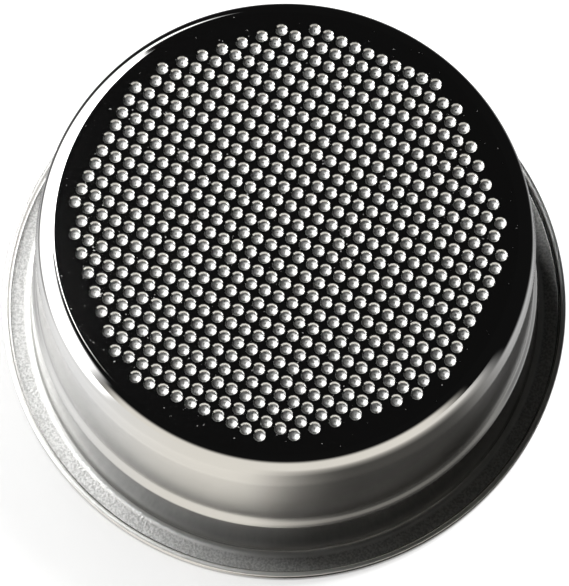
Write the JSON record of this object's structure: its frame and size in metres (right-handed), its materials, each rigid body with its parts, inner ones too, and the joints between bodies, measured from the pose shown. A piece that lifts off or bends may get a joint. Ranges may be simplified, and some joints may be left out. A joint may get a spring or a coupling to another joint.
{
  "type": "espresso filter basket",
  "caption": "Pressed steel coffee filter cup with a flanged mouth, a tapered shouldered wall and a flat base perforated with fine dimpled holes.",
  "frame": {"origin": "centre of the mouth, on the plane of the flange's gasket face, which the basket stands on", "axes": "+Z along the cup's axis, from the mouth up to the perforated base; the hole grid's rows run 24.5 degrees clockwise of +X seen from above"},
  "size_m": [0.068, 0.068, 0.0298],
  "materials": {
    "polished_steel": "mirror-polished stainless"
  },
  "bodies": {
    "root": {"filter_basket": "polished_steel"}
  },
  "joints": []
}
